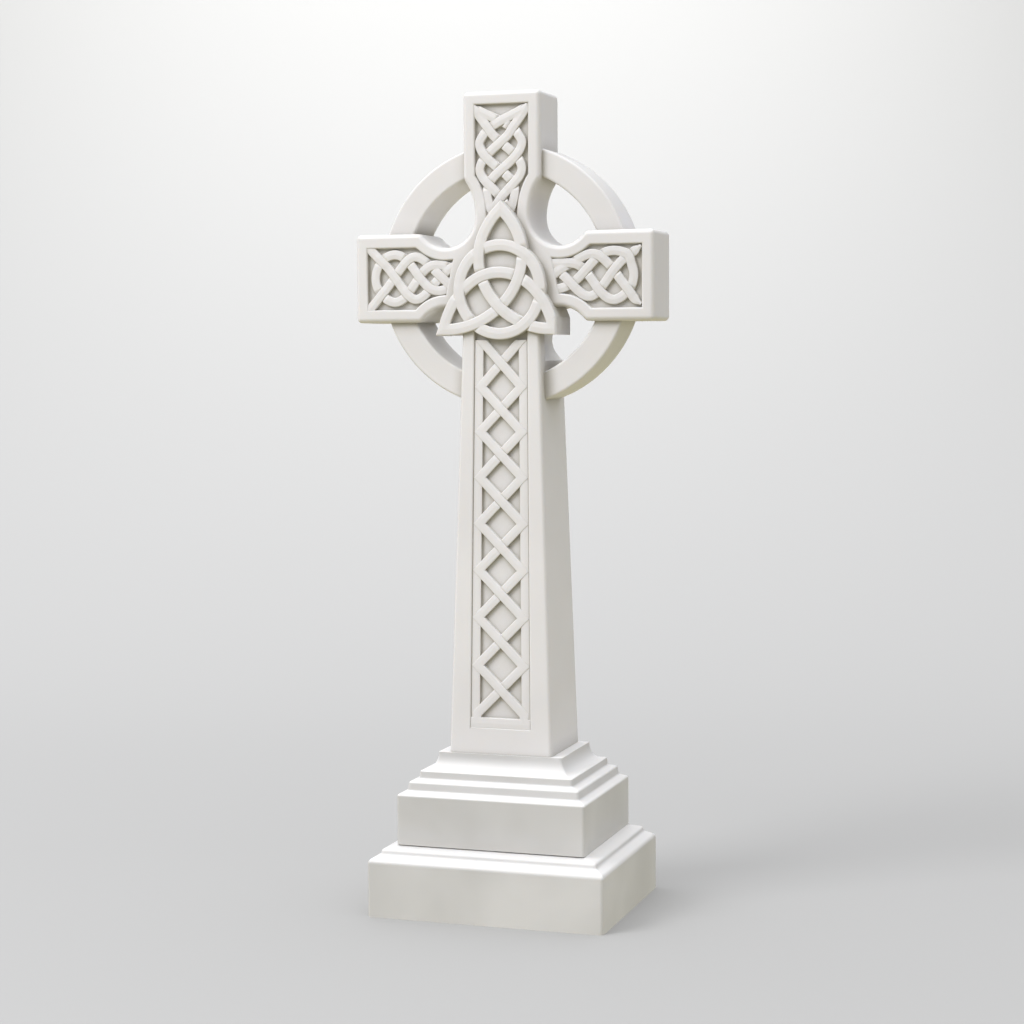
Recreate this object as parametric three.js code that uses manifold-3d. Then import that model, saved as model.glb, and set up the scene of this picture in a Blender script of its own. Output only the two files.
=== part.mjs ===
import * as THREE from 'three';
import { mergeVertices } from 'three/addons/utils/BufferGeometryUtils.js';
import Module from 'manifold-3d';

// A ringed memorial cross of white marble on two stepped bases, in millimetres.
// +Z is up, the carved front faces -Y, and the origin is under the middle of the lower base.

const TOTAL_HEIGHT = 1220;
const BED_JOINT = 0.3;
const ARRIS = 5;

// The bases: block height, then slopes and fillets as inset from the block and height above it
const LOWER_BASE = { width: 364, depth: 305, block: 85, top: 105 };
const LOWER_STEPS = [[15, 7], [16, 14]];
const LOWER_BED_INSET = 36;
const UPPER_BASE = { width: 292, depth: 246, block: 180, top: 239 };
const UPPER_STEPS = [[12, 5], [14, 18], [26, 21]];
const FOOT_HOLLOW = { inset: 31, width: 18, height: 26, fillet: 4 };

// The shaft tapers both ways. The head's sizes are measured from the middle of the cross.
const SHAFT = { top: 872, footWidth: 160, topWidth: 119.4, footDepth: 142, topDepth: 115.6 };
const BACK_SLOPE = { low: 830, high: 863 };
const HEAD = { centre: 948, front: -51, back: 43, arris: 7 };
const ARM = { reach: 232, halfHeight: 66 };
const TOP_ARM_HALF = 60;
const NOTCH = { x: 88.5, z: 90.5, radius: 46, rise: 68 };
const SHAFT_HOLLOW = { x: 79, z: 97, radius: 32, frontLayer: 24 };
const RING = { centre: 950.5, outer: 194, inner: 155, backInner: 152.5, front: -40, back: 37, chamfer: 3 };

// Sunk panels with raised interlace on the arms, the top arm and the shaft
const BORDER = 19;
const ARM_UPPER_BORDER = 21;
const PANEL_END = { upper: 71, lower: 84 };
const RECESS = 7;
const STRAND = { width: 14, rise: 6, gap: 1.6 };
const ARM_KNOT_START = 213;
const TOP_KNOT = { start: 254, middle: -1.5 };
const SHAFT_PANEL = { foot: 278, top: 882, footHalfWidth: 46.5, topHalfWidth: 40.4 };
const ZIGZAG = { width: 14, top: 855, firstTip: 786, step: 66.6, growth: 1.0145, tips: 8 };
const SIDE_BAR = 13.5;
const FOOT_BAR = 16;

// The boss: three pointed loops woven with a hoop, on a body standing forward of the head
const BOSS = { front: -65, floor: -57, back: 6, strand: 17 };
const LOOPS = { apex: [2.5, 99.5], left: [-88, -77], right: [84, -77] };
const RIGHT_FOOT_END = { x: 88, low: -100, high: -50 };
const HOOP = { z: -18.7, radius: 65, narrowing: 0.965 };

const wasm = await Module();
wasm.setup();

const marble = new THREE.MeshStandardMaterial({ color: 0xe4e3e1, roughness: 0.45, metalness: 0 });

const SHAFT_FOOT = UPPER_BASE.top + BED_JOINT;
const SHAFT_SLOPE = (SHAFT.footDepth - SHAFT.topDepth) / 2 / (SHAFT.top - SHAFT_FOOT);

function at(x, z) {
  return new THREE.Vector2(x, z);
}

function toSolid(geometry) {
  const bare = geometry.clone();
  bare.deleteAttribute('normal');
  bare.deleteAttribute('uv');
  const merged = mergeVertices(bare, 1e-3);
  const vertProperties = new Float32Array(merged.attributes.position.array);
  const triVerts = new Uint32Array(merged.index.array);
  return new wasm.Manifold(new wasm.Mesh({ numProp: 3, vertProperties, triVerts }));
}

function toMesh(name, solid) {
  const { vertProperties, triVerts } = solid.getMesh();
  const geometry = new THREE.BufferGeometry();
  geometry.setAttribute('position', new THREE.BufferAttribute(vertProperties, 3));
  geometry.setIndex(new THREE.BufferAttribute(triVerts, 1));
  geometry.computeVertexNormals();
  const mesh = new THREE.Mesh(geometry, marble);
  mesh.name = name;
  return mesh;
}

function unite(solids) {
  return solids.reduce((whole, next) => whole.add(next));
}

// Extrudes an outline drawn in X and Z from a front Y to a back Y, chamfered all round if asked
function slab(points, front, back, chamfer = 0) {
  const geometry = new THREE.ExtrudeGeometry(new THREE.Shape(points), {
    depth: back - front - 2 * chamfer,
    bevelEnabled: chamfer > 0,
    bevelSize: chamfer,
    bevelOffset: -chamfer,
    bevelThickness: chamfer,
    bevelSegments: 1,
  });
  geometry.rotateX(Math.PI / 2);
  geometry.translate(0, back - chamfer, 0);
  return geometry;
}

function mirrored(points) {
  return points.map(({ x, y }) => at(-x, y)).reverse();
}

function arc(x, z, radius, from, to, steps) {
  const points = [];
  for (let i = 0; i <= steps; i += 1) {
    const angle = from + (i / steps) * (to - from);
    points.push(at(x + radius * Math.cos(angle), z + radius * Math.sin(angle)));
  }
  return points;
}

function circle(radius, steps) {
  return arc(0, 0, radius, 0, 2 * Math.PI, steps).slice(0, -1);
}

// Moulded rectangular block: one section of inset and height on all four sides, mitred at the corners
function mouldedBlock(width, depth, section, cornerRadius) {
  const sweep = (half, length) => {
    const right = section.map(([inset, z]) => at(half - inset, z));
    return slab([...right, ...mirrored(right)], -length / 2, length / 2);
  };
  const acrossX = toSolid(sweep(width / 2, depth));
  const acrossY = toSolid(sweep(depth / 2, width).rotateZ(Math.PI / 2));
  const x = width / 2 - cornerRadius;
  const y = depth / 2 - cornerRadius;
  const turn = Math.PI / 2;
  const plan = [
    ...arc(x, y, cornerRadius, 0, turn, 4),
    ...arc(-x, y, cornerRadius, turn, 2 * turn, 4),
    ...arc(-x, -y, cornerRadius, 2 * turn, 3 * turn, 4),
    ...arc(x, -y, cornerRadius, 3 * turn, 4 * turn, 4),
  ];
  const height = section.at(-1)[1];
  const corners = new THREE.ExtrudeGeometry(new THREE.Shape(plan), { depth: height, bevelEnabled: false });
  return acrossX.intersect(acrossY).intersect(toSolid(corners));
}

function roundedTop(z, radius) {
  return arc(radius, z - radius, radius, Math.PI, Math.PI / 2, 4).map(({ x, y }) => [x, y]);
}

// Lower base: a block, a weathered slope, a low fillet and a second slope up to the bed
function lowerBase() {
  const { width, depth, block, top } = LOWER_BASE;
  const steps = LOWER_STEPS.map(([inset, rise]) => [inset, block + rise]);
  const section = [[0, 0], ...roundedTop(block, ARRIS), ...steps, [LOWER_BED_INSET, top]];
  return mouldedBlock(width, depth, section, ARRIS);
}

// Upper base: a block, two fillets stepping in, and a hollow moulding up to the foot of the shaft
function upperBase() {
  const { width, depth, block, top } = UPPER_BASE;
  const { inset, width: reach, height, fillet } = FOOT_HOLLOW;
  const hollow = arc(0, 0, 1, 0, Math.PI / 2, 6).map(({ x, y }) => [inset + reach * y, top - height * x]);
  const foot = [0, LOWER_BASE.top + BED_JOINT];
  const steps = UPPER_STEPS.map(([x, rise]) => [x, block + rise]);
  const section = [foot, ...roundedTop(block, ARRIS), ...steps, [inset - fillet, top - height], ...hollow];
  return mouldedBlock(width, depth, section, ARRIS);
}

// Right half of the head's outline, from the top arm down, or the same outline inset by a border
function halfHead(inset) {
  const side = TOP_ARM_HALF - inset;
  const half = ARM.halfHeight - inset;
  const radius = NOTCH.radius + inset;
  const stretch = (NOTCH.rise + inset) / radius;
  const toSide = Math.acos((side - NOTCH.x) / radius);
  const toArm = 2 * Math.PI - Math.asin((NOTCH.z - half) / radius);
  const upper = arc(NOTCH.x, 0, radius, toSide, toArm, 14).map(({ x, y }) => {
    return at(x, NOTCH.z + y * (y > 0 ? stretch : 1));
  });
  return {
    top: at(side, TOTAL_HEIGHT - HEAD.centre - inset),
    upper,
    arm: [at(ARM.reach - inset, half), at(ARM.reach - inset, -half)],
    lower: upper.map(({ x, y }) => at(x, -y)).reverse(),
  };
}

function headSlab() {
  const { top, upper, arm, lower } = halfHead(0);
  const right = [top, ...upper, ...arm, ...lower].reverse();
  const outline = slab([...right, ...mirrored(right)], HEAD.front, HEAD.back, HEAD.arris);
  return toSolid(outline.translate(0, 0, HEAD.centre));
}

// Shaft: a tapered block, its sides scalloped by the lower notches behind a thin front layer,
// and its back sloped at the top to meet the thinner head
function shaft() {
  const x = SHAFT.footWidth / 2;
  const y = SHAFT.footDepth / 2;
  const edge = ARRIS;
  const plan = [at(x, y - edge), at(x - edge, y), at(edge - x, y), at(-x, y - edge), at(-x, edge - y),
    at(edge - x, -y), at(x - edge, -y), at(x, edge - y)];
  const height = SHAFT.top - SHAFT_FOOT;
  const block = new THREE.ExtrudeGeometry(new THREE.Shape(plan), { depth: height, bevelEnabled: false });
  const position = block.attributes.position;
  for (let i = 0; i < position.count; i += 1) {
    const rise = position.getZ(i) / height;
    const narrow = 1 - rise * (1 - SHAFT.topWidth / SHAFT.footWidth);
    const thin = 1 - rise * (1 - SHAFT.topDepth / SHAFT.footDepth);
    position.setXYZ(i, position.getX(i) * narrow, position.getY(i) * thin, position.getZ(i) + SHAFT_FOOT);
  }
  const whole = toSolid(block);
  const behind = SHAFT_HOLLOW.frontLayer - SHAFT.topDepth / 2;
  const hollows = [-1, 1].map((side) => {
    const cutter = slab(circle(SHAFT_HOLLOW.radius, 32), behind, SHAFT.footDepth);
    return toSolid(cutter.translate(side * SHAFT_HOLLOW.x, 0, HEAD.centre - SHAFT_HOLLOW.z));
  });
  const back = SHAFT.footDepth;
  const over = SHAFT.top + 1;
  const { low, high } = BACK_SLOPE;
  const foot = at(SHAFT.topDepth / 2 + 1, low);
  const slope = [at(HEAD.back, over), at(HEAD.back, high), foot, at(back, low), at(back, over)];
  const wedge = toSolid(slab(slope, -SHAFT.footWidth, SHAFT.footWidth).rotateZ(Math.PI / 2));
  return whole.subtract(unite([...hollows, wedge]));
}

// Ring: a hoop let in between the arms, a little narrower inside at the back
function ring() {
  const { outer, inner, backInner, front, back, chamfer } = RING;
  const hoop = toSolid(slab(circle(outer, 64), front, back, chamfer));
  const flare = (inner - backInner) / (back - front);
  const bore = new THREE.CylinderGeometry(backInner - flare, inner + flare, back - front + 2, 64);
  bore.translate(0, (front + back) / 2, 0);
  return hoop.subtract(toSolid(bore)).translate([0, 0, RING.centre]);
}

// Flat band of even width along a path, with mitred bends: its right side, then its left side reversed
function band(path, width) {
  const left = [];
  const right = [];
  path.forEach((here, i) => {
    const arriving = i > 0 ? here.clone().sub(path[i - 1]).normalize() : null;
    const leaving = i < path.length - 1 ? path[i + 1].clone().sub(here).normalize() : arriving;
    const tangent = (arriving ?? leaving).clone().add(leaving).normalize();
    const across = at(-tangent.y, tangent.x);
    const reach = width / 2 / across.dot(at(-leaving.y, leaving.x));
    left.push(here.clone().addScaledVector(across, reach));
    right.push(here.clone().addScaledVector(across, -reach));
  });
  return [...right, ...left.reverse()];
}

// Band whose two ends are mitred to meet the neighbouring paths
function mitredBand(before, path, after, width) {
  const points = band([before.at(-2), ...path, after[1]], width);
  const count = path.length;
  return [...points.slice(1, count + 1), ...points.slice(count + 3, 2 * count + 3)];
}

// Part of a path between two distances along it
function stretch(path, from, to) {
  const part = [];
  let travelled = 0;
  for (let i = 1; i < path.length; i += 1) {
    const step = path[i].distanceTo(path[i - 1]);
    for (const mark of [from, to]) {
      const share = (mark - travelled) / step;
      if (share >= 0 && share < 1) part.push(path[i - 1].clone().lerp(path[i], share));
      if (mark === from && travelled + step > from && travelled + step < to) part.push(path[i].clone());
    }
    travelled += step;
  }
  return part;
}

function crossing(a, b, c, d) {
  const first = b.clone().sub(a);
  const second = d.clone().sub(c);
  const area = first.cross(second);
  if (Math.abs(area) < 1e-9) return null;
  const between = c.clone().sub(a);
  const alongFirst = between.cross(second) / area;
  const alongSecond = between.cross(first) / area;
  const inside = alongFirst >= 0 && alongFirst < 1 && alongSecond >= 0 && alongSecond < 1;
  return inside ? { alongFirst, alongSecond, place: a.clone().addScaledVector(first, alongFirst) } : null;
}

// Finds where paths cross, with the distance along each path
function crossings(paths) {
  const marks = [];
  paths.forEach((path) => {
    let travelled = 0;
    path.forEach((here, i) => {
      if (i > 0) {
        marks.push({ path, start: path[i - 1], end: here, travelled, index: i });
        travelled += here.distanceTo(path[i - 1]);
      }
    });
  });
  const found = [];
  marks.forEach((one, i) => {
    for (const other of marks.slice(i + 1)) {
      const neighbours = one.path === other.path && Math.abs(one.index - other.index) < 3;
      const hit = neighbours ? null : crossing(one.start, one.end, other.start, other.end);
      if (hit) {
        const first = { path: one.path, heading: one.end.clone().sub(one.start).normalize() };
        first.distance = one.travelled + hit.alongFirst * one.end.distanceTo(one.start);
        const second = { path: other.path, heading: other.end.clone().sub(other.start).normalize() };
        second.distance = other.travelled + hit.alongSecond * other.end.distanceTo(other.start);
        found.push({ place: hit.place, first, second });
      }
    }
  });
  return found;
}

function rises({ heading }) {
  return heading.x * heading.y > 0;
}

// Interlace: bands joined into one relief, each lower band parted from the upper one by a small gap
function weave({ paths, bands, width, top, bottom, pickUpper }) {
  const wide = width + 2 * STRAND.gap;
  const reach = 0.75 * width + STRAND.gap;
  const cuts = [];
  const bridges = [];
  for (const { place, first, second } of crossings(paths)) {
    const shared = first.distance < width / 2 && second.distance < width / 2;
    if (!shared) {
      const upper = pickUpper(place, first, second);
      const near = (span) => stretch(upper.path, upper.distance - span, upper.distance + span);
      cuts.push(toSolid(slab(band(near(reach), wide), top - 1, bottom)));
      bridges.push(toSolid(slab(band(near(reach + 1), width), top, bottom)));
    }
  }
  return unite(bands).subtract(unite(cuts)).add(unite(bridges));
}

function openBands(paths, width, top, bottom) {
  return paths.map((path) => toSolid(slab(band(path, width), top, bottom)));
}

function smooth(points, spacing) {
  const curve = new THREE.SplineCurve(points);
  return curve.getSpacedPoints(Math.round(curve.getLength() / spacing));
}

// Four strands of a plait from the outer end of a panel inwards: u runs along it and v across it.
// The crossings draw closer by a factor from each to the next, and lie off the middle by a bias.
function plait({ firstCrossing, quarter, shrink, amplitude, bias, end, cornerLead, innerLead }) {
  const wave = (phase, lead, flip) => {
    const points = lead.map(([u, v]) => at(u, flip * v));
    let u = firstCrossing;
    for (let quarters = 0; u < end; quarters += 0.5) {
      const swing = Math.cos(Math.PI * (quarters + phase) / 4);
      points.push(at(u, flip * amplitude(u) * swing + bias * (1 - swing ** 2)));
      u += quarter / 2 * shrink ** quarters;
    }
    return smooth(points, 6);
  };
  return [wave(1, cornerLead, 1), wave(1, cornerLead, -1), wave(-1, innerLead, 1), wave(-1, innerLead, -1)];
}

function panelKnot(paths, risingIsUpper) {
  const bottom = HEAD.front + RECESS + 1;
  const top = HEAD.front + RECESS - STRAND.rise;
  const width = STRAND.width;
  const pickUpper = (place, first, second) => (risingIsUpper(place) === rises(first) ? first : second);
  return weave({ paths, bands: openBands(paths, width, top, bottom), width, top, bottom, pickUpper });
}

// Arm knots: two strands spring from the corners, the other two meet in a loop at the outer end
function armKnots() {
  const amplitude = (u) => 35.5 - 17 * THREE.MathUtils.smoothstep(u, 60, 122);
  const left = plait({
    firstCrossing: 21.5,
    quarter: 21.8,
    shrink: 0.94,
    amplitude,
    bias: 2,
    end: 150,
    cornerLead: [[-3, 51], [9, 38.5]],
    innerLead: [[12, 0], [14.5, 13]],
  });
  const right = plait({
    firstCrossing: 20,
    quarter: 22.4,
    shrink: 0.98,
    amplitude,
    bias: 7,
    end: 150,
    cornerLead: [[1, 42], [11, 34.5]],
    innerLead: [[12, 0], [15, 14]],
  });
  const placed = (lines, side) => lines.map((points) => {
    return points.map(({ x, y }) => at(side * (ARM_KNOT_START - x), y));
  });
  const leftRule = ({ x, y }) => (y > 10 && x > -182) || (y < -10 && x < -182);
  const rightRule = ({ y }) => Math.abs(y - 4) < 10;
  return [panelKnot(placed(left, -1), leftRule), panelKnot(placed(right, 1), rightRule)];
}

// Top arm knot: all four strands spring from the two upper corners
function topKnot() {
  const { smoothstep } = THREE.MathUtils;
  const paths = plait({
    firstCrossing: 36.5,
    quarter: 20.4,
    shrink: 1,
    amplitude: (u) => 26.5 + 6.5 * smoothstep(u, 36, 57) - 14 * smoothstep(u, 92, 150),
    bias: 0,
    end: 170,
    cornerLead: [[2, 41], [14, 35.5], [27, 26]],
    innerLead: [[2, -42], [8.5, -36], [14, -26], [19.5, -14], [26, 0]],
  });
  const placed = paths.map((points) => points.map(({ x, y }) => at(y + TOP_KNOT.middle, TOP_KNOT.start - x)));
  return panelKnot(placed, ({ x }) => x > -10);
}

// Sunk panel outlines on the head, a border's width inside its outline and short of the boss
function headPanels() {
  const { top, upper, arm, lower } = halfHead(BORDER);
  const upperEdge = upper.filter(({ x, y }) => x > PANEL_END.upper && y < NOTCH.z);
  const lowerEdge = lower.filter(({ x }) => x > PANEL_END.lower);
  const limit = ARM.halfHeight - ARM_UPPER_BORDER;
  const armSide = [...upperEdge, ...arm, ...lowerEdge].map(({ x, y }) => at(x, Math.min(y, limit)));
  const rightPanel = armSide.reverse();
  const topSide = [at(20, 80), ...upper.filter(({ y }) => y > NOTCH.z - 4).reverse(), top];
  return [rightPanel, mirrored(rightPanel), [...topSide, ...mirrored(topSide)]];
}

// Shaft relief is drawn upright at the foot's front face, then leaned back with the taper
function leaned(solid) {
  const towardBack = new THREE.Matrix4().makeTranslation(0, 0, -SHAFT_FOOT);
  towardBack.premultiply(new THREE.Matrix4().makeShear(0, 0, 0, 0, 0, SHAFT_SLOPE));
  towardBack.premultiply(new THREE.Matrix4().makeTranslation(0, 0, SHAFT_FOOT));
  return solid.transform(towardBack.elements);
}

function panelHalfWidth(z) {
  const share = (z - SHAFT_PANEL.foot) / (SHAFT.top - SHAFT_PANEL.foot);
  return THREE.MathUtils.lerp(SHAFT_PANEL.footHalfWidth, SHAFT_PANEL.topHalfWidth, share);
}

// Shaft knot: two angular strands zigzag down the panel over side bars, crossing in the middle,
// and a foot bar closes the panel
function shaftKnot() {
  const top = -SHAFT.footDepth / 2 + RECESS - STRAND.rise;
  const bottom = -SHAFT.footDepth / 2 + RECESS + 1;
  const { width, step, growth } = ZIGZAG;
  const heights = [ZIGZAG.top, ZIGZAG.firstTip];
  while (heights.length <= ZIGZAG.tips) {
    heights.push(heights.at(-1) - step * growth ** (heights.length - 2));
  }
  const inset = 0.68 * width;
  const paths = [-1, 1].map((side) => heights.map((z, i) => {
    return at(side * (i % 2 ? -1 : 1) * (panelHalfWidth(z) - inset), z);
  }));
  const pickUpper = (place, first, second) => (rises(first) ? second : first);
  const bands = openBands(paths, width, top, bottom);
  const zigzag = weave({ paths, bands, width, top, bottom, pickUpper });
  const turns = paths.map((path) => path.slice(1, -1));
  const clearance = unite(openBands(turns, width + 2 * STRAND.gap, top - 1, bottom + 1));
  const { foot } = SHAFT_PANEL;
  const low = panelHalfWidth(foot);
  const high = panelHalfWidth(ZIGZAG.top);
  const bars = [-1, 1].map((side) => {
    const outline = [[low, foot], [low - SIDE_BAR, foot], [high - SIDE_BAR, ZIGZAG.top], [high, ZIGZAG.top]];
    return toSolid(slab(outline.map(([x, z]) => at(side * x, z)), top, bottom)).subtract(clearance);
  });
  const footBar = [at(-low, foot), at(low, foot), at(low, foot + FOOT_BAR), at(-low, foot + FOOT_BAR)];
  return leaned(unite([zigzag, ...bars, toSolid(slab(footBar, top, bottom))]));
}

function shaftPanel() {
  const low = panelHalfWidth(SHAFT_PANEL.foot);
  const high = panelHalfWidth(SHAFT.top);
  const { foot, top } = SHAFT_PANEL;
  const outline = [at(-low, foot), at(low, foot), at(high, top), at(-high, top)];
  return leaned(toSolid(slab(outline, -SHAFT.footDepth, -SHAFT.footDepth / 2 + RECESS)));
}

// Boss: three pointed loops woven with a hoop, over a solid of their outline. Its right foot ends blunt.
function boss() {
  const { front, floor, back, strand: width } = BOSS;
  const apex = at(...LOOPS.apex);
  const left = at(...LOOPS.left);
  const right = at(...LOOPS.right);
  const descent = new THREE.CubicBezierCurve(apex, at(-76, 26), at(-8, -80), right).getSpacedPoints(20);
  const arch = new THREE.CubicBezierCurve(right, at(56, 34), at(-58, 34), left).getSpacedPoints(20);
  const ascent = new THREE.CubicBezierCurve(left, at(8, -80), at(80, 26), apex).getSpacedPoints(20);
  const turn = Math.PI / 2;
  const narrowed = (points) => points.map(({ x, y }) => at(x * HOOP.narrowing, y));
  const hoop = narrowed(arc(0, HOOP.z, HOOP.radius, turn, 5 * turn, 40));
  const hoopEdge = (side) => {
    return narrowed(arc(0, HOOP.z, HOOP.radius + side * width / 2, 0, 4 * turn, 48).slice(0, -1));
  };
  const bottom = floor + 1;
  const loops = [[ascent, descent, arch], [descent, arch, ascent], [arch, ascent, descent]].map((three) => {
    return mitredBand(three[0], three[1], three[2], width);
  });
  const bands = loops.map((points) => toSolid(slab(points, front, bottom)));
  const inside = toSolid(slab(hoopEdge(-1), front - 1, bottom + 1));
  bands.push(toSolid(slab(hoopEdge(1), front, bottom)).subtract(inside));
  const order = [descent, ascent, arch];
  const pickUpper = (place, first, second) => {
    if (second.path === hoop) return (first.path === arch) === (place.x > 0) ? first : second;
    return order[(order.indexOf(first.path) + 1) % 3] === second.path ? first : second;
  };
  const relief = weave({ paths: [descent, arch, ascent, hoop], bands, width, top: front, bottom, pickUpper });
  const outlines = [...loops.map((points) => points.slice(0, points.length / 2)), hoopEdge(1)];
  const body = unite(outlines.map((points) => toSolid(slab(points, floor, back))));
  const { x, low, high } = RIGHT_FOOT_END;
  const end = [at(x, low), at(2 * x, low), at(2 * x, high), at(x, high)];
  return body.add(relief).subtract(toSolid(slab(end, 2 * front, back + 1)));
}

// The cross is carved from one stone
function cross() {
  const raise = (solid) => solid.translate([0, 0, HEAD.centre]);
  const panels = headPanels().map((points) => toSolid(slab(points, 2 * HEAD.front, HEAD.front + RECESS)));
  const stone = unite([headSlab(), shaft(), ring()]).subtract(unite([...panels.map(raise), shaftPanel()]));
  return unite([stone, ...armKnots().map(raise), raise(topKnot()), shaftKnot(), raise(boss())]);
}

const memorial = new THREE.Group();
memorial.add(toMesh('lower_base', lowerBase()));
memorial.add(toMesh('upper_base', upperBase()));
memorial.add(toMesh('celtic_cross', cross()));

export default memorial;
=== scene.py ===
import math
from itertools import accumulate, combinations

import bmesh
import bpy
from mathutils import Matrix, Vector
from mathutils.geometry import interpolate_bezier, intersect_line_line_2d


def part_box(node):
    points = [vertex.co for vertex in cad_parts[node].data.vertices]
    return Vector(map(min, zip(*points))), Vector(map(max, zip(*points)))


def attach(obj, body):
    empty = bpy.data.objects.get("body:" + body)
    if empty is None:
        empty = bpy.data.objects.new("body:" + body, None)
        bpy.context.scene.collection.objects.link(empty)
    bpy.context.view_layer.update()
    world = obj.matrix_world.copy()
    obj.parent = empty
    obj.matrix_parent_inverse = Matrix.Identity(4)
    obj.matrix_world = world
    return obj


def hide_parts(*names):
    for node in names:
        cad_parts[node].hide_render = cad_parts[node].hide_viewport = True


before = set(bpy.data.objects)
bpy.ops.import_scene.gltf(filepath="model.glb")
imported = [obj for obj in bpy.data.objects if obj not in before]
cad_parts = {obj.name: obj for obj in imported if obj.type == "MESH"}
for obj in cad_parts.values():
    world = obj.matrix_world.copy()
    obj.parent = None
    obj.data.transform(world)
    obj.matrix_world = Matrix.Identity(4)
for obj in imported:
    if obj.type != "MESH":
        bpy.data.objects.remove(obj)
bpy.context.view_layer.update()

# Lower base: a rectangular marble block, sawn square and honed. Its arrises are rounded, and
# above the block a weathered slope, one low fillet and a second slope rise to the next stone.
MM = 0.001


def linear(hex_colour):
    channels = [int(hex_colour[i:i + 2], 16) / 255 for i in (0, 2, 4)]
    return tuple(c / 12.92 if c <= 0.04045 else ((c + 0.055) / 1.055) ** 2.4 for c in channels) + (1.0,)


def add_node(tree, kind, settings=None, values=None, links=None):
    node = tree.nodes.new(kind)
    for name, value in (settings or {}).items():
        setattr(node, name, value)
    for name, value in (values or {}).items():
        node.inputs[name].default_value = value
    for name, source in (links or {}).items():
        tree.links.new(source, node.inputs[name])
    return node


def set_stops(ramp, stops):
    elements = ramp.color_ramp.elements
    while len(elements) < len(stops):
        elements.new(0.5)
    for element, (position, colour) in zip(elements, stops):
        element.position = position
        element.color = colour


# Fine-grained white marble, honed and then weathered a little soft. It gives a bright stone with
# a dull sheen and faint broad clouds, light bleeds a few millimetres into its edges, painted shade
# darkens it where the carving is deep, and a painted highlight keeps what faces upwards whiter.
def honed_marble(name, ground, cloud, crevice_shade):
    material = bpy.data.materials.new(name)
    material.use_nodes = True
    tree = material.node_tree
    tree.nodes.clear()
    place = add_node(tree, "ShaderNodeTexCoord").outputs["Object"]

    cloud_size = 220 * MM
    drift = add_node(tree, "ShaderNodeTexNoise",
                     values={"Scale": 1 / cloud_size, "Detail": 3.0, "Roughness": 0.45, "Distortion": 0.3},
                     links={"Vector": place})
    clouds = add_node(tree, "ShaderNodeValToRGB", links={"Fac": drift.outputs["Fac"]})
    set_stops(clouds, [(0.35, linear(cloud)), (0.65, linear(ground))])

    # Painted shade: ambient occlusion mixes the colour towards the crevice colour in recesses and narrow
    # grooves, where shade falls.
    groove_reach = 22 * MM
    open_sky = add_node(tree, "ShaderNodeAmbientOcclusion", settings={"samples": 8},
                        values={"Distance": groove_reach})
    depth = add_node(tree, "ShaderNodeMapRange",
                     values={"From Min": 0.5, "From Max": 0.97, "To Min": 1.0, "To Max": 0.0},
                     links={"Value": open_sky.outputs["AO"]})
    shade_in_crevices = add_node(tree, "ShaderNodeMix", settings={"data_type": "RGBA"}, values={"B": linear(crevice_shade)},
                      links={"Factor": depth.outputs["Result"], "A": clouds.outputs["Color"]})

    # Painted light from above: faces that point upwards are painted whiter, towards e9e8e8, the more so the
    # more they face up.
    facing = add_node(tree, "ShaderNodeNewGeometry").outputs["Normal"]
    upward = add_node(tree, "ShaderNodeSeparateXYZ", links={"Vector": facing}).outputs["Z"]
    light_from_above = add_node(tree, "ShaderNodeMapRange", values={"From Min": 0.15, "From Max": 0.7},
                    links={"Value": upward})
    lit_from_above = add_node(tree, "ShaderNodeMix", settings={"data_type": "RGBA"}, values={"B": linear("e9e8e8")},
                      links={"Factor": light_from_above.outputs["Result"], "A": shade_in_crevices.outputs["Result"]})

    grain_size = 1.2 * MM
    grain = add_node(tree, "ShaderNodeTexNoise", values={"Scale": 1 / grain_size, "Detail": 2.0},
                     links={"Vector": place})
    sheen = add_node(tree, "ShaderNodeMapRange",
                     values={"From Min": 0.3, "From Max": 0.7, "To Min": 0.38, "To Max": 0.5},
                     links={"Value": grain.outputs["Fac"]})
    bump = add_node(tree, "ShaderNodeBump", values={"Strength": 0.2, "Distance": 0.05 * MM},
                    links={"Height": grain.outputs["Fac"]})
    stone = add_node(tree, "ShaderNodeBsdfPrincipled",
                     values={"IOR": 1.5, "Subsurface Weight": 0.2, "Subsurface Radius": (1.0, 0.85, 0.7),
                             "Subsurface Scale": 3 * MM},
                     links={"Base Color": lit_from_above.outputs["Result"], "Roughness": sheen.outputs["Result"],
                            "Normal": bump.outputs["Normal"]})
    add_node(tree, "ShaderNodeOutputMaterial", links={"Surface": stone.outputs["BSDF"]})
    return material


def softened(points, radius, closed=False, steps=3):
    """Rounds the corners of an outline, each with an arc no longer than its edges allow."""
    result = []
    count = len(points)
    for i, corner in enumerate(points):
        if not closed and i in (0, count - 1):
            result.append(Vector(corner))
            continue
        here = Vector(corner)
        back = Vector(points[i - 1]) - here
        ahead = Vector(points[(i + 1) % count]) - here
        half = back.angle(ahead) / 2
        cut = min(radius / math.tan(half), 0.45 * back.length, 0.45 * ahead.length)
        start = here + back.normalized() * cut
        end = here + ahead.normalized() * cut
        for k in range(steps + 1):
            t = k / steps
            result.append((1 - t) ** 2 * start + 2 * t * (1 - t) * here + t ** 2 * end)
    return result


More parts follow.
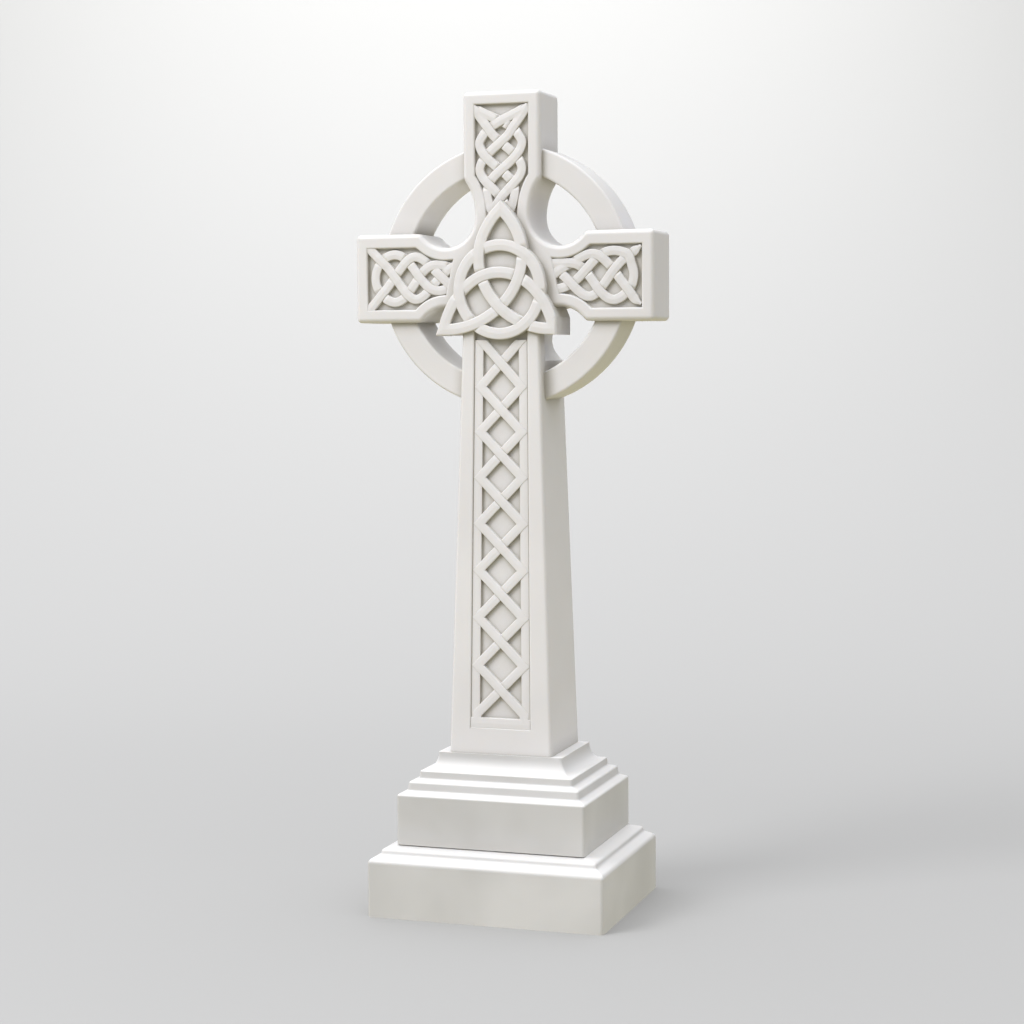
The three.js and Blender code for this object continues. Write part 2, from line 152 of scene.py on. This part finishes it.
def moulded_block(node, corner, section):
    """Block on a node's plan: its edge loop rises through a section of inset and height on all sides."""
    low, high = (Vector(point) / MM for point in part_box(node))
    bm = bmesh.new()
    bmesh.ops.create_grid(bm, x_segments=1, y_segments=1, size=0.5)
    bmesh.ops.scale(bm, vec=high - low, verts=bm.verts)
    middle = (low + high) / 2
    bmesh.ops.translate(bm, vec=(middle.x, middle.y, low.z), verts=bm.verts)
    bmesh.ops.bevel(bm, geom=bm.verts[:], affect="VERTICES", offset=corner, segments=5, profile=0.5,
                    material=-1)
    edges = bm.edges[:]
    reached = Vector(section[0])
    for inset, height in section[1:]:
        grown = bmesh.ops.extrude_edge_only(bm, edges=edges)["geom"]
        edges = [part for part in grown if isinstance(part, bmesh.types.BMEdge)]
        step = inset - reached.x
        for vert in (part for part in grown if isinstance(part, bmesh.types.BMVert)):
            vert.co.x -= math.copysign(step, vert.co.x - middle.x)
            vert.co.y -= math.copysign(step, vert.co.y - middle.y)
            vert.co.z += height - reached.y
        reached = Vector((inset, height))
    bmesh.ops.contextual_create(bm, geom=edges)
    bmesh.ops.recalc_face_normals(bm, faces=bm.faces)
    return bm


def stone_piece(name, bm, material):
    """Turns millimetres into metres and makes the object, with soft edges smooth and carved edges crisp."""
    bmesh.ops.scale(bm, vec=(MM, MM, MM), verts=bm.verts)
    mesh = bpy.data.meshes.new(name)
    bm.to_mesh(mesh)
    bm.free()
    for face in mesh.polygons:
        face.use_smooth = True
    mesh.set_sharp_from_angle(angle=math.radians(40))
    piece = bpy.data.objects.new(name, mesh)
    bpy.context.scene.collection.objects.link(piece)
    mesh.materials.append(material)
    weighting = piece.modifiers.new("weighted normals", "WEIGHTED_NORMAL")
    weighting.keep_sharp = True
    return piece


base_marble = honed_marble("honed grey-white marble", ground="e0dfe1", cloud="cdcccd", crevice_shade="cfccc6")

BASE_CORNER = 5
LOWER_BLOCK = 85
LOWER_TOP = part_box("lower_base")[1][2] / MM
LOWER_ARRIS = 8
lower_steps = [(0, 0), (0, LOWER_BLOCK), (15, LOWER_BLOCK + 7), (16, LOWER_BLOCK + 14), (36, LOWER_TOP)]
lower_block = moulded_block("lower_base", BASE_CORNER, softened(lower_steps, LOWER_ARRIS))
lower_base = stone_piece("lower_base_stone", lower_block, base_marble)
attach(lower_base, "root")
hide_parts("lower_base")

# Upper base: a second marble block, narrower, bedded on the first. Two fillets with weathered
# slopes step in above the block, and a hollow moulding rises to the foot of the shaft.
UPPER_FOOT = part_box("upper_base")[0][2] / MM
UPPER_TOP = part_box("upper_base")[1][2] / MM
UPPER_BLOCK = 180
UPPER_ARRIS = 4
HOLLOW_INSET, HOLLOW_WIDTH, HOLLOW_HEIGHT = 31, 18, 26
hollow = [(HOLLOW_INSET + HOLLOW_WIDTH * math.sin(turn), UPPER_TOP - HOLLOW_HEIGHT * math.cos(turn))
          for turn in (math.radians(10 * step) for step in range(10))]
upper_steps = [(0, UPPER_FOOT), (0, UPPER_BLOCK), (12, UPPER_BLOCK + 5), (14, UPPER_BLOCK + 18),
               (26, UPPER_BLOCK + 21), (27, UPPER_TOP - HOLLOW_HEIGHT)]
upper_section = softened(upper_steps + hollow[:1], UPPER_ARRIS) + hollow[1:]
upper_block = moulded_block("upper_base", BASE_CORNER, upper_section)
upper_base = stone_piece("upper_base_stone", upper_block, base_marble)
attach(upper_base, "root")
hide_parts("upper_base")

# Cross, head: arms and top arm with four notches between them, the upper half of one tall stone
# of white marble that is carved all round from a single block. Its arrises are rounded by hand.
HEAD_Z = 948
HEAD_FRONT, HEAD_BACK = -51, 43
HEAD_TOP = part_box("celtic_cross")[1][2] / MM - HEAD_Z
ARM_REACH, ARM_HALF = 232, 66
TOP_HALF = 60
NOTCH_X, NOTCH_Z = 88.5, 90.5
NOTCH_RADIUS, NOTCH_RISE = 46, 68
HEAD_ARRIS = 7


def arc(x, z, radius, start, end, steps):
    turns = (start + (end - start) * step / steps for step in range(steps + 1))
    return [Vector((x + radius * math.cos(turn), z + radius * math.sin(turn))) for turn in turns]


def mirrored(points):
    return [Vector((-x, z)) for x, z in reversed(points)]


def half_head(inset):
    """Right half of the head's outline, or of the same outline moved inwards by a border."""
    side = TOP_HALF - inset
    half = ARM_HALF - inset
    radius = NOTCH_RADIUS + inset
    start = math.acos((side - NOTCH_X) / radius)
    end = 2 * math.pi - math.asin((NOTCH_Z - half) / radius)
    upper = arc(NOTCH_X, NOTCH_Z, radius, start, end, 32)
    stretch = (NOTCH_RISE + inset) / radius
    upper = [Vector((x, NOTCH_Z + (z - NOTCH_Z) * (stretch if z > NOTCH_Z else 1))) for x, z in upper]
    top = [Vector((side, HEAD_TOP - inset))]
    arm = [Vector((ARM_REACH - inset, half)), Vector((ARM_REACH - inset, -half))]
    return top, upper, arm, [Vector((x, -z)) for x, z in reversed(upper)]


def slab(outline, front, back, rounding=0.0):
    """Solid of an outline in X and Z between two depths, its rims and its sharp corners rounded."""
    bm = bmesh.new()
    face = bm.faces.new([bm.verts.new((x, front, z)) for x, z in outline])
    grown = bmesh.ops.extrude_face_region(bm, geom=[face])["geom"]
    far = [part for part in grown if isinstance(part, bmesh.types.BMVert)]
    bmesh.ops.translate(bm, vec=(0, back - front, 0), verts=far)
    bmesh.ops.recalc_face_normals(bm, faces=bm.faces)
    if rounding:
        worn = [edge for edge in bm.edges if abs(edge.calc_face_angle_signed()) > math.radians(35)]
        bmesh.ops.bevel(bm, geom=worn, affect="EDGES", offset=rounding, segments=4, profile=0.5, material=-1)
    return bm


def moved(bm, x=0, y=0, z=0):
    bmesh.ops.translate(bm, vec=(x, y, z), verts=bm.verts)
    return bm


top, upper, arm, lower = half_head(0)
right_side = [*top, *upper, *arm, *lower]
head = moved(slab([*right_side, *mirrored(right_side)], HEAD_FRONT, HEAD_BACK, HEAD_ARRIS), z=HEAD_Z)

# Cross, shaft: the lower half of the same stone, tapered in width and in depth. The two lower
# notches hollow its sides behind a front layer, and its back slopes in to the thinner head.
BED_JOINT = 0.3
SHAFT_FOOT = UPPER_TOP + BED_JOINT
SHAFT_TOP = 872
SHAFT_FOOT_SIZE = (160, 142)
SHAFT_TOP_SIZE = (119.4, 115.6)
SHAFT_SLOPE = (SHAFT_FOOT_SIZE[1] - SHAFT_TOP_SIZE[1]) / 2 / (SHAFT_TOP - SHAFT_FOOT)
SHAFT_ARRIS = 5
FRONT_LAYER = 24
HOLLOW_X, HOLLOW_Z, HOLLOW_RADIUS = 79, 97, 32
SLOPE_LOW, SLOPE_HIGH = 830, 863

shaft = bmesh.new()
bmesh.ops.create_cube(shaft, size=1)
for vert in shaft.verts:
    width, depth = SHAFT_TOP_SIZE if vert.co.z > 0 else SHAFT_FOOT_SIZE
    vert.co = (vert.co.x * width, vert.co.y * depth, SHAFT_TOP if vert.co.z > 0 else SHAFT_FOOT)
upright = [edge for edge in shaft.edges if abs(edge.verts[0].co.z - edge.verts[1].co.z) > 1]
bmesh.ops.bevel(shaft, geom=upright, affect="EDGES", offset=SHAFT_ARRIS, segments=4, profile=0.5, material=-1)

layer_back = FRONT_LAYER - SHAFT_TOP_SIZE[1] / 2
hollows = [moved(slab(arc(side * HOLLOW_X, HEAD_Z - HOLLOW_Z, HOLLOW_RADIUS, 0, 2 * math.pi, 64)[:-1],
                      layer_back, SHAFT_FOOT_SIZE[1])) for side in (-1, 1)]
slope = [(HEAD_BACK, SHAFT_TOP + 1), (HEAD_BACK, SLOPE_HIGH), (SHAFT_TOP_SIZE[1] / 2 + 1, SLOPE_LOW),
         (SHAFT_FOOT_SIZE[1], SLOPE_LOW), (SHAFT_FOOT_SIZE[1], SHAFT_TOP + 1)]
back_slope = slab(slope, -SHAFT_FOOT_SIZE[0], SHAFT_FOOT_SIZE[0])
bmesh.ops.rotate(back_slope, cent=(0, 0, 0), matrix=Matrix.Rotation(math.pi / 2, 3, "Z"),
                 verts=back_slope.verts)

# Cross, ring: one hoop round the middle of the head, thinner than the arms and let in between
# them. Its edges are rounded.
RING_Z = 950.5
RING_OUTER, RING_INNER, RING_BACK_INNER = 194, 155, 152.5
RING_FRONT, RING_BACK = -40, 37
RING_ARRIS = 4
ring_corners = [(RING_INNER, RING_FRONT), (RING_OUTER, RING_FRONT), (RING_OUTER, RING_BACK),
                (RING_BACK_INNER, RING_BACK)]
ring = bmesh.new()
ring_verts = [ring.verts.new((x, y, RING_Z)) for x, y in softened(ring_corners, RING_ARRIS, closed=True)]
ring_edges = [ring.edges.new((vert, ring_verts[i - 1])) for i, vert in enumerate(ring_verts)]
bmesh.ops.spin(ring, geom=ring_verts + ring_edges, cent=(0, 0, RING_Z), axis=(0, 1, 0), dvec=(0, 0, 0),
               angle=2 * math.pi, steps=128, use_merge=True)
bmesh.ops.recalc_face_normals(ring, faces=ring.faces)

# Cross, sunk panels: the face is cut back inside a plain border on the arms, the top arm and the
# shaft, and the border's inner edge is rounded over.
BORDER = 19
ARM_UPPER_BORDER = 21
ARM_PANEL_UPPER_END, ARM_PANEL_LOWER_END = 71, 84
RECESS = 7
LIP = 2.8
WALL_LEAN = 0.4


def sunk(outline, front):
    """Cutter for a panel: it widens at the face by a rounded lip, and its walls lean in a little."""
    bm = slab(outline, front - 10, front)
    floor = [max(bm.faces, key=lambda face: face.calc_center_median().y)]
    turns = [math.radians(30 * step) for step in range(4)]
    for before, after in zip(turns, turns[1:]):
        bmesh.ops.inset_region(bm, faces=floor, thickness=LIP * (math.sin(after) - math.sin(before)),
                               depth=LIP * (math.cos(before) - math.cos(after)), use_even_offset=True)
    bmesh.ops.inset_region(bm, faces=floor, thickness=WALL_LEAN, depth=RECESS - LIP, use_even_offset=True)
    return bm


def leaned(bm):
    """Tips shaft carving, drawn upright at the foot's front face, back with the taper."""
    tip = Matrix.Identity(4)
    tip[1][2] = SHAFT_SLOPE
    tip[1][3] = -SHAFT_SLOPE * SHAFT_FOOT
    bmesh.ops.transform(bm, matrix=tip, verts=bm.verts)
    return bm


top, upper, arm, lower = half_head(BORDER - LIP)
upper_edge = [p for p in upper if p.x > ARM_PANEL_UPPER_END and p.y < NOTCH_Z]
lower_edge = [p for p in lower if p.x > ARM_PANEL_LOWER_END]
arm_panel_top = ARM_HALF - ARM_UPPER_BORDER + LIP
arm_panel = [Vector((x, min(z, arm_panel_top))) for x, z in upper_edge + arm + lower_edge]
TOP_PANEL_FOOT = Vector((20, 80))
top_side = top + [p for p in upper if p.y > NOTCH_Z - 4] + [TOP_PANEL_FOOT]
PANEL_FOOT, PANEL_TOP = 278, 882
PANEL_FOOT_HALF, PANEL_TOP_HALF = 46.5, 40.4


def panel_half(z):
    share = (z - PANEL_FOOT) / (SHAFT_TOP - PANEL_FOOT)
    return PANEL_FOOT_HALF + share * (PANEL_TOP_HALF - PANEL_FOOT_HALF)


shaft_corners = [Vector((panel_half(PANEL_FOOT) + LIP, PANEL_FOOT - LIP)),
                 Vector((panel_half(SHAFT_TOP) + LIP, PANEL_TOP))]
panels = [moved(sunk(outline, HEAD_FRONT), z=HEAD_Z) for outline in
          (arm_panel, mirrored(arm_panel), [*top_side, *mirrored(top_side)])]
panels.append(leaned(sunk([*shaft_corners, *mirrored(shaft_corners)], -SHAFT_FOOT_SIZE[1] / 2)))

# Cross, plaits on the arms and the top arm: four flat strands with rounded edges stand in each
# sunk panel, and each is cut lower where it passes under another, as a carver does it.
STRAND_WIDTH = 14
STRAND_RISE = 6
DIP = 1.8
LIFT = 0.4


def smooth(points, steps=6):
    """Curve through points, with more points between them."""
    result = [points[0]]
    for i in range(1, len(points)):
        start, end = points[i - 1], points[i]
        before = points[i - 2] if i > 1 else start
        after = points[i + 1] if i + 1 < len(points) else end
        handles = start + (end - before) / 6, end - (after - start) / 6
        curve = interpolate_bezier(*(p.to_3d() for p in (start, *handles, end)), steps + 1)
        result += [p.to_2d() for p in curve[1:]]
    return result


def divided(points, spacing, clear=0.0):
    """The same path with points no further apart than a spacing, but none close to a bend."""
    result = [points[0]]
    for start, end in zip(points, points[1:]):
        length = (end - start).length
        parts = math.ceil(length / spacing)
        shares = [part / parts for part in range(1, parts)
                  if clear <= part / parts * length <= length - clear]
        result += [start.lerp(end, share) for share in shares] + [end]
    return result


def distances(path):
    return [0, *accumulate((end - start).length for start, end in zip(path, path[1:]))]


def crossings(paths):
    """Every place where two paths cross: the paths' numbers, the distances along them and the place."""
    found = []
    spans = [[*zip(path, path[1:], distances(path))] for path in paths]
    for first, second in combinations(range(len(paths)), 2):
        ends = (paths[first][0], paths[first][-1])
        for a, b, along_first in spans[first]:
            for c, d, along_second in spans[second]:
                place = intersect_line_line_2d(a, b, c, d)
                if place and min((place - end).length for end in ends) > 1:
                    rising = (b - a).x * (b - a).y > 0
                    found.append((first, along_first + (place - a).length, second,
                                  along_second + (place - c).length, place, rising))
    return found


def eased(value, start, end):
    share = min(max((value - start) / (end - start), 0), 1)
    return share * share * (3 - 2 * share)


def swell(distance, marks, flat, fade):
    """How far a point lies inside the rise or dip round any of the marks, from 0 to 1."""
    gap = min((abs(distance - mark) for mark in marks), default=flat + fade)
    return 1 - eased(gap, flat, flat + fade)


def strand_section(width, rise, rounding, crown, depth=1.0):
    """Section of a strand as points across it and up from the panel's floor, rounded on top."""
    half = width / 2
    shoulders = [(-half, -depth), (-half, rise - crown), (0, rise), (half, rise - crown), (half, -depth)]
    return softened(shoulders, rounding)


def strand(path, section, floor, lifts, widths=None, before=None, after=None):
    """Sweeps a section along a path, mitred at its bends. It closes up where the path ends on its start."""
    points = [before or 2 * path[0] - path[1], *path, after or 2 * path[-1] - path[-2]]
    bm = bmesh.new()
    bmesh.ops.create_grid(bm, x_segments=len(path) - 1, y_segments=len(section), size=1)
    for index, vert in enumerate(bm.verts):
        row, step = divmod(index, len(path))
        across, up = section[row % len(section)]
        here = points[step + 1]
        leaving = (points[step + 2] - here).normalized()
        tangent = ((here - points[step]).normalized() + leaving).normalized()
        side = Vector((-tangent.y, tangent.x)) / tangent.dot(leaving) * (widths[step] if widths else 1)
        height = up + lifts[step] if up > 0 else up
        vert.co = (here.x + across * side.x, floor - height, here.y + across * side.y)
    bmesh.ops.remove_doubles(bm, verts=bm.verts, dist=1e-3)
    bmesh.ops.holes_fill(bm, edges=[edge for edge in bm.edges if edge.is_boundary])
    bmesh.ops.recalc_face_normals(bm, faces=bm.faces)
    return bm


def knot(paths, section, floor, upper_of, width, ends=None, points=(0, 0, 0, 0)):
    """Strands of one knot. upper_of says which of two crossing strands passes over, and points how
    long each strand's pointed start is. A strand swells a little where it passes over another."""
    unders = [[] for _ in paths]
    overs = [[] for _ in paths]
    for first, along_first, second, along_second, place, rising in crossings(paths):
        first_over = upper_of(first, second, place, rising)
        (overs if first_over else unders)[first].append(along_first)
        (unders if first_over else overs)[second].append(along_second)
    made = []
    for i, path in enumerate(paths):
        along = distances(path)
        lifts = [LIFT * swell(s, overs[i], width / 2, width / 2)
                 - DIP * swell(s, unders[i], 0.4 * width, 0.22 * width) for s in along]
        widths = [0.35 + 0.65 * eased(s, 0, points[i]) for s in along] if points[i] else None
        made.append(strand(path, section, floor, lifts, widths, *(ends[i] if ends else ())))
    return made


def plait(first_crossing, quarter, shrink, amplitude, bias, end, corner_lead, inner_lead):
    """Centre lines of a plait's strands: U runs inwards from the panel's outer end and V across it.
    The crossings draw closer by a factor from each to the next, and lie off the middle by a bias."""
    made = []
    for phase, lead in ((1, corner_lead), (-1, inner_lead)):
        for flip in (1, -1):
            points = [Vector((u, flip * v)) for u, v in lead]
            u = first_crossing
            quarters = 0
            while u < end:
                swing = math.cos(math.pi * (quarters + phase) / 4)
                points.append(Vector((u, flip * amplitude(u) * swing + bias * (1 - swing ** 2))))
                u += quarter / 2 * shrink ** quarters
                quarters += 0.5
            made.append(smooth(points))
    return made


plait_section = strand_section(STRAND_WIDTH, STRAND_RISE, rounding=1.8, crown=0.6)
panel_floor = HEAD_FRONT + RECESS
arm_start = 213
plaits = []


def arm_swing(u):
    return 35.5 - 17 * eased(u, 60, 122)


def left_over(first, second, place, rising):
    return rising == ((place.y > 10 and place.x > -182) or (place.y < -10 and place.x < -182))


def right_over(first, second, place, rising):
    return rising == (abs(place.y - 4) < 10)


left_lines = plait(first_crossing=21.5, quarter=21.8, shrink=0.94, amplitude=arm_swing, bias=2, end=150,
                   corner_lead=[(-3, 51), (9, 38.5)], inner_lead=[(12, -0.5), (12.4, 5), (14.5, 13)])
right_lines = plait(first_crossing=20, quarter=22.4, shrink=0.98, amplitude=arm_swing, bias=7, end=150,
                    corner_lead=[(1, 42), (11, 34.5)], inner_lead=[(12, -0.5), (12.4, 5), (15, 14)])
for side, arm_lines, arm_over, point in ((-1, left_lines, left_over, 0), (1, right_lines, right_over, 12)):
    lines = [divided([Vector((side * (arm_start - u), v)) for u, v in line], 2.5) for line in arm_lines]
    plaits += knot(lines, plait_section, panel_floor, arm_over, STRAND_WIDTH, points=(point, point, 0, 0))

top_start = 254
top_middle = -1.5


def top_swing(u):
    return 26.5 + 6.5 * eased(u, 36, 57) - 14 * eased(u, 92, 150)


def top_over(first, second, place, rising):
    return rising == (place.x > -10)


top_lines = plait(first_crossing=36.5, quarter=20.4, shrink=1, amplitude=top_swing, bias=0, end=170,
                  corner_lead=[(2, 41), (14, 35.5), (27, 26)],
                  inner_lead=[(2, -42), (8.5, -36), (14, -26), (19.5, -14), (26, 0)])
lines = [divided([Vector((top_middle + v, top_start - u)) for u, v in line], 2.5) for line in top_lines]
plaits += knot(lines, plait_section, panel_floor, top_over, STRAND_WIDTH, points=(9, 9, 9, 9))
plaits = [moved(bm, z=HEAD_Z) for bm in plaits]

# Cross, shaft knot: two flat strands zigzag down the long panel and cross at its middle. Their
# points touch the border, side bars run under them, and a foot bar closes the panel.
FIRST_TIP, TIP_STEP, STEP_GROWTH, TIP_COUNT = 786, 66.6, 1.0145, 8
KNOT_TOP = 855
ZIGZAG_WIDTH = 14
BAR_WIDTH = 13.5
FOOT_BAR_WIDTH = 16
POINT_INSET = 0.68 * ZIGZAG_WIDTH
zigzag_section = strand_section(ZIGZAG_WIDTH, STRAND_RISE, rounding=1.6, crown=0.4)
bar_section = strand_section(BAR_WIDTH, STRAND_RISE - 1, rounding=1.2, crown=0.3)
foot_section = strand_section(FOOT_BAR_WIDTH, STRAND_RISE, rounding=1.2, crown=0.3)
shaft_floor = -SHAFT_FOOT_SIZE[1] / 2 + RECESS
tip_steps = (TIP_STEP * STEP_GROWTH ** i for i in range(TIP_COUNT - 1))
tip_heights = [*accumulate(tip_steps, lambda z, step: z - step, initial=FIRST_TIP)]
lines = []
ends = []
for side in (-1, 1):
    points = [Vector((side * (-1) ** i * (panel_half(z) - POINT_INSET), z))
              for i, z in enumerate([KNOT_TOP, *tip_heights])]
    points.append(Vector((points[-1].x, PANEL_FOOT - 1)))
    lines.append(divided(points, 3, clear=9))
    above = Vector((points[1].x, 2 * points[0].y - points[1].y))
    ends.append((above, None))
shaft_knot = knot(lines, zigzag_section, shaft_floor, lambda first, second, place, rising: not rising,
                  ZIGZAG_WIDTH, ends=ends)
for side in (-1, 1):
    bar = [Vector((side * (panel_half(z) - BAR_WIDTH / 2), z)) for z in (PANEL_FOOT, KNOT_TOP)]
    shaft_knot.append(strand(bar, bar_section, shaft_floor, [0, 0]))
foot_bar = [Vector((side * panel_half(PANEL_FOOT), PANEL_FOOT + FOOT_BAR_WIDTH / 2 - 1)) for side in (-1, 1)]
shaft_knot.append(strand(foot_bar, foot_section, shaft_floor, [0, 0]))
shaft_knot = [leaned(bm) for bm in shaft_knot]

# Cross, boss: three pointed loops woven through a hoop, carved on a body that stands forward of
# the head and runs back into it. The strands are flat on top, and the right foot ends blunt.
BOSS_FRONT, BOSS_FLOOR, BOSS_BACK = -65, -57, 6
BOSS_WIDTH = 17
HOOP_Z, HOOP_RADIUS, HOOP_NARROWING = -18.7, 65, 0.965
MITRE_REACH = 11.5
MITRE_OVERLAP = 0.3
apex = Vector((2.5, 99.5))
right_foot = Vector((84, -77))
left_foot = Vector((-88, -77))


def curved(*points):
    """Curve a little too long at both ends, with no other points in reach of the mitres there."""
    path = [p.to_2d() for p in interpolate_bezier(*(Vector(point).to_3d() for point in points), 97)]
    along = distances(path)
    inner = [p for p, s in zip(path, along) if MITRE_REACH < s < along[-1] - MITRE_REACH]
    start = path[0] + (path[0] - inner[0]).normalized() * MITRE_OVERLAP
    end = path[-1] + (path[-1] - inner[-1]).normalized() * MITRE_OVERLAP
    return [start, *inner, end]


descent = curved(apex, (-76, 26), (-8, -80), right_foot)
arch = curved(right_foot, (56, 34), (-58, 34), left_foot)
ascent = curved(left_foot, (8, -80), (80, 26), apex)
hoop = [Vector((x * HOOP_NARROWING, z))
        for x, z in arc(0, HOOP_Z, HOOP_RADIUS, math.pi / 2, 5 * math.pi / 2, 160)]
boss_lines = [descent, arch, ascent, hoop]
neighbours = [(ascent, arch), (descent, ascent), (arch, descent), (hoop, hoop)]
boss_ends = [(before[-2], after[1]) for before, after in neighbours]
boss_section = strand_section(BOSS_WIDTH, BOSS_FLOOR - BOSS_FRONT, rounding=2, crown=0.6,
                              depth=BOSS_BACK - BOSS_FLOOR)


def boss_over(first, second, place, rising):
    if second == 3:
        return (first == 1) == (place.x > 0)
    return (first, second) == (0, 2)


boss = knot(boss_lines, boss_section, BOSS_FLOOR, boss_over, BOSS_WIDTH, ends=boss_ends)
boss += [slab(line if line != hoop else hoop[:-1], BOSS_FLOOR, BOSS_BACK) for line in boss_lines]
boss = [moved(bm, z=HEAD_Z) for bm in boss]
FOOT_END, FOOT_END_LOW, FOOT_END_HIGH = 88, -100, -50
FOOT_CHAMFER = 2.5
end_plan = [(FOOT_END, -BOSS_BACK - 1), (FOOT_END, -BOSS_FRONT - FOOT_CHAMFER),
            (FOOT_END - FOOT_CHAMFER, -BOSS_FRONT), (FOOT_END - FOOT_CHAMFER, -2 * BOSS_FRONT),
            (2 * FOOT_END, -2 * BOSS_FRONT), (2 * FOOT_END, -BOSS_BACK - 1)]
foot_end = slab(end_plan, HEAD_Z + FOOT_END_LOW, HEAD_Z + FOOT_END_HIGH)
bmesh.ops.rotate(foot_end, cent=(0, 0, 0), matrix=Matrix.Rotation(math.pi / 2, 3, "X"),
                 verts=foot_end.verts)


# Cross, whole: the parts above are one stone, so they are joined and cut in the order in which
# the stone is roughed out, sunk and carved. It is honed white marble, whiter than the bases.
def carved(stone, steps):
    """Joins solids to a stone, or cuts them out of it, one after another."""
    tools = []
    for bm in (stone, *(bm for _, bm in steps)):
        mesh = bpy.data.meshes.new("tool")
        bm.to_mesh(mesh)
        bm.free()
        tools.append(bpy.data.objects.new("tool", mesh))
        bpy.context.scene.collection.objects.link(tools[-1])
    for tool, (operation, _) in zip(tools[1:], steps):
        cut = tools[0].modifiers.new(operation, "BOOLEAN")
        cut.operation = operation
        cut.solver = "MANIFOLD"
        cut.object = tool
    result = bmesh.new()
    result.from_object(tools[0], bpy.context.evaluated_depsgraph_get())
    for tool in tools:
        bpy.data.objects.remove(tool)
    return result


marble = honed_marble("honed white marble", ground="efedf0", cloud="e8e6e9", crevice_shade="bfbbb4")
steps = [("DIFFERENCE", bm) for bm in (*hollows, back_slope)]
steps += [("UNION", bm) for bm in (ring, head)]
steps += [("DIFFERENCE", bm) for bm in panels]
boss_stone = carved(boss[0], [("UNION", bm) for bm in boss[1:]] + [("DIFFERENCE", foot_end)])
steps += [("UNION", bm) for bm in (*plaits, *shaft_knot, boss_stone)]
cross = stone_piece("celtic_cross_stone", carved(shaft, steps), marble)
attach(cross, "root")
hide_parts("celtic_cross")

# Studio: a plain pale floor that curves up into a plain backdrop of matt paper, and soft light.
# One wide soft box stands high on the left in front, one lights the backdrop, and weaker light
# comes from all round.
floor_bm = bmesh.new()
front_edge = [floor_bm.verts.new((x, -6, 0)) for x in (-12, 12)]
strip = [floor_bm.edges.new(front_edge)]


def stretched(bm, edges, vec):
    grown = bmesh.ops.extrude_edge_only(bm, edges=edges)["geom"]
    bmesh.ops.translate(bm, vec=vec, verts=[part for part in grown if isinstance(part, bmesh.types.BMVert)])
    return [part for part in grown if isinstance(part, bmesh.types.BMEdge)]


COVE_START, COVE_RADIUS = 1.5, 4.0
strip = stretched(floor_bm, strip, (0, 6 + COVE_START, 0))
swept = bmesh.ops.spin(floor_bm, geom=strip, cent=(0, COVE_START, COVE_RADIUS), axis=(1, 0, 0),
                       dvec=(0, 0, 0), angle=math.pi / 2, steps=24)["geom_last"]
strip = [part for part in swept if isinstance(part, bmesh.types.BMEdge)]
stretched(floor_bm, strip, (0, 0, 6))
bmesh.ops.recalc_face_normals(floor_bm, faces=floor_bm.faces)
AZIMUTH = math.radians(18.35)
bmesh.ops.rotate(floor_bm, cent=(0, 0, 0), matrix=Matrix.Rotation(AZIMUTH, 3, "Z"), verts=floor_bm.verts)
floor_mesh = bpy.data.meshes.new("studio_floor")
floor_bm.to_mesh(floor_mesh)
floor_bm.free()
for face in floor_mesh.polygons:
    face.use_smooth = True
floor = bpy.data.objects.new("studio_floor", floor_mesh)
bpy.context.scene.collection.objects.link(floor)
for seen_by in ("visible_diffuse", "visible_glossy", "visible_transmission", "visible_shadow"):
    setattr(floor, seen_by, False)

paper = bpy.data.materials.new("matt backdrop paper")
paper.use_nodes = True
paper_shader = paper.node_tree.nodes["Principled BSDF"]
paper_shader.inputs["Base Color"].default_value = linear("adadad")
paper_shader.inputs["Roughness"].default_value = 0.9
floor_mesh.materials.append(paper)


def soft_box(name, place, target, size, power, colour):
    light = bpy.data.lights.new(name, "AREA")
    light.shape = "SQUARE"
    light.size = size
    light.energy = power
    light.color = linear(colour)[:3]
    lamp = bpy.data.objects.new(name, light)
    lamp.location = place
    lamp.rotation_euler = (Vector(target) - Vector(place)).to_track_quat("-Z", "Y").to_euler()
    bpy.context.scene.collection.objects.link(lamp)


soft_box("key", (-3.1, -3.8, 4.7), (0, 0, 0.7), 2.6, 190, "ffffff")
soft_box("backdrop_wash", (-1.4, 3.9, 4.5), (-1.95, 5.6, 3.0), 4.0, 170, "ffffff")

# The light all round is white from above, greyer level with the stone and a dim olive from below.
world = bpy.data.worlds.new("studio")
world.use_nodes = True
sky = world.node_tree
direction = add_node(sky, "ShaderNodeTexCoord").outputs["Generated"]
height = add_node(sky, "ShaderNodeSeparateXYZ", links={"Vector": direction}).outputs["Z"]
share = add_node(sky, "ShaderNodeMapRange", values={"From Min": -1.0, "From Max": 1.0},
                 links={"Value": height})
glow = add_node(sky, "ShaderNodeValToRGB", links={"Fac": share.outputs["Result"]})
set_stops(glow, [(0.3, linear("a6a182")), (0.5, linear("6c6e73")), (0.62, linear("7e8086")),
                 (0.86, linear("ffffff"))])
sky.links.new(glow.outputs["Color"], sky.nodes["Background"].inputs["Color"])
sky.nodes["Background"].inputs["Strength"].default_value = 1.5
bpy.context.scene.world = world
bpy.context.scene.view_settings.view_transform = "Standard"

camera = bpy.data.objects.new("camera", bpy.data.cameras.new("camera"))
PITCH, ROLL = math.radians(-4.1), math.radians(-0.3)
aimed = Matrix.Rotation(AZIMUTH, 3, "Z") @ Matrix.Rotation(math.pi / 2 + PITCH, 3, "X")
camera.rotation_euler = (aimed @ Matrix.Rotation(ROLL, 3, "Z")).to_euler()
camera.location = (1.0395, -3.1424, 0.8339)
camera.data.sensor_width = 36
camera.data.lens = 77.32
bpy.context.scene.collection.objects.link(camera)
bpy.context.scene.camera = camera
